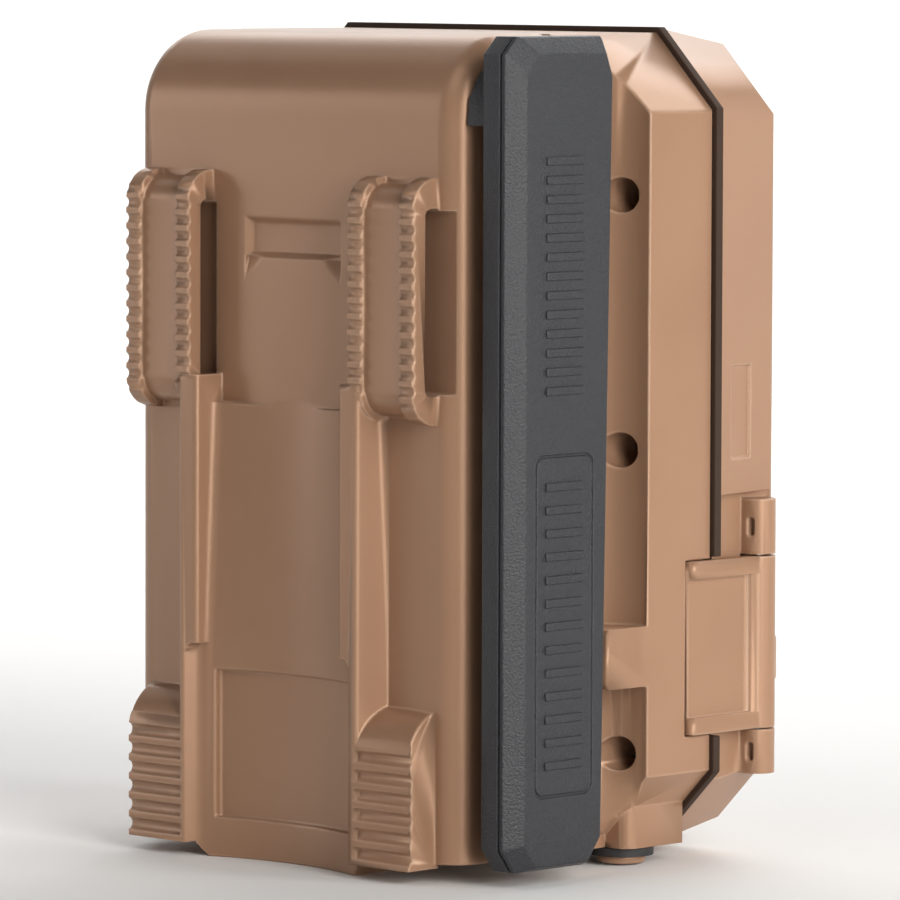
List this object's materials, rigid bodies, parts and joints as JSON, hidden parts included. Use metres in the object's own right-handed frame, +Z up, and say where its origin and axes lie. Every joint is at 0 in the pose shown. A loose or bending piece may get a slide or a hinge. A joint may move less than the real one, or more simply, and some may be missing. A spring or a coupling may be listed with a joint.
{
  "type": "trail camera",
  "caption": "Weatherproof strap-on trail camera: deep housing with toothed strap loops, hinged front door with side latch, infrared and lens front, folding side antenna.",
  "frame": {"origin": "middle of the bounding box at the plane the camera stands on", "axes": "+Z up, the lens looks along -Y, +Y is the tree side, the door hinge is on +X and the antenna and latch on -X"},
  "size_m": [0.105, 0.078, 0.1435],
  "materials": {
    "brown_shell": "satin moulded ABS",
    "seal_rubber": "dull moulded rubber",
    "antenna_black": "fine spark-eroded texture",
    "front_black": "satin",
    "smoked_window": "polished smoked acrylic",
    "fresnel_white": "milky polyethylene",
    "clear_glass": "polished",
    "port_rubber": "dull",
    "steel": "zinc plated",
    "copper": "plain",
    "contact_plate": "nickel plated",
    "insert_brass": "turned",
    "cell_can": "printed sleeve",
    "inner_plastic": "satin",
    "circuit_board": "solder mask",
    "display_glass": "polished",
    "led_epoxy": "clear epoxy",
    "button_rubber": "matte"
  },
  "bodies": {
    "housing": {"aa_cells": "cell_can", "antenna_knuckle": "antenna_black", "antenna_pivot_pin": "steel", "battery_tray": "inner_plastic", "door_hinge_pins": "steel", "housing_screws": "steel", "inner_frame": "inner_plastic", "modem_board": "circuit_board", "modem_shield": "steel", "negative_contacts": "contact_plate", "positive_contacts": "contact_plate", "power_jack": "inner_plastic", "rear_housing": "brown_shell", "seal_gasket": "seal_rubber", "sim_socket": "steel", "tripod_insert": "insert_brass"},
    "door": {"door_shell": "brown_shell", "front_bezel": "front_black", "ir_window": "smoked_window", "lens_ring": "front_black", "lens_window": "clear_glass", "lens_barrel": "front_black", "lens_glass": "clear_glass", "pir_lens": "fresnel_white", "status_light": "clear_glass", "light_sensor_window": "clear_glass", "ir_led_board": "circuit_board", "ir_leds": "led_epoxy", "main_board": "circuit_board", "image_sensor": "circuit_board", "pir_sensor": "steel", "pir_cone": "inner_plastic", "microphone": "steel", "speaker_gasket": "port_rubber", "sd_socket": "steel", "sd_card": "inner_plastic", "display": "display_glass", "display_window": "clear_glass", "door_inner_cover": "inner_plastic", "cover_screws": "steel", "latch_pin": "steel"},
    "latch": {"latch_plate": "brown_shell"},
    "antenna": {"antenna_outer_shell": "antenna_black", "antenna_inner_shell": "antenna_black", "antenna_element": "copper"},
    "plug": {"port_plug": "port_rubber", "port_cap": "brown_shell"},
    "power_button": {"power_button": "button_rubber"},
    "menu_button": {"menu_button": "button_rubber"},
    "ok_button": {"ok_button": "button_rubber"}
  },
  "joints": [
    {"name": "door_hinge", "type": "hinge", "parent": "housing", "child": "door", "pos_m": [0.0506, -0.01957, 0.073], "axis": [0, 0, 1], "range_deg": [0, 110]},
    {"name": "latch_pivot", "type": "hinge", "parent": "door", "child": "latch", "pos_m": [-0.0494, -0.0314, 0.03765], "axis": [0, 0, 1], "range_deg": [0, 110]},
    {"name": "antenna_pivot", "type": "hinge", "parent": "housing", "child": "antenna", "pos_m": [-0.0478, 0.0206, 0.1332], "axis": [1, 0, 0], "range_deg": [0, 180]},
    {"name": "port_plug_pull", "type": "slide", "parent": "housing", "child": "plug", "axis": [0, 0, -1], "range_m": [0, 0.006]},
    {"name": "power_button_press", "type": "slide", "parent": "door", "child": "power_button", "axis": [0, -1, 0], "range_m": [0, 0.0007], "stiffness_N_per_m": 900, "springref_m": -0.0004},
    {"name": "menu_button_press", "type": "slide", "parent": "door", "child": "menu_button", "axis": [0, -1, 0], "range_m": [0, 0.0007], "stiffness_N_per_m": 900, "springref_m": -0.0004},
    {"name": "ok_button_press", "type": "slide", "parent": "door", "child": "ok_button", "axis": [0, -1, 0], "range_m": [0, 0.0007], "stiffness_N_per_m": 900, "springref_m": -0.0004}
  ]
}
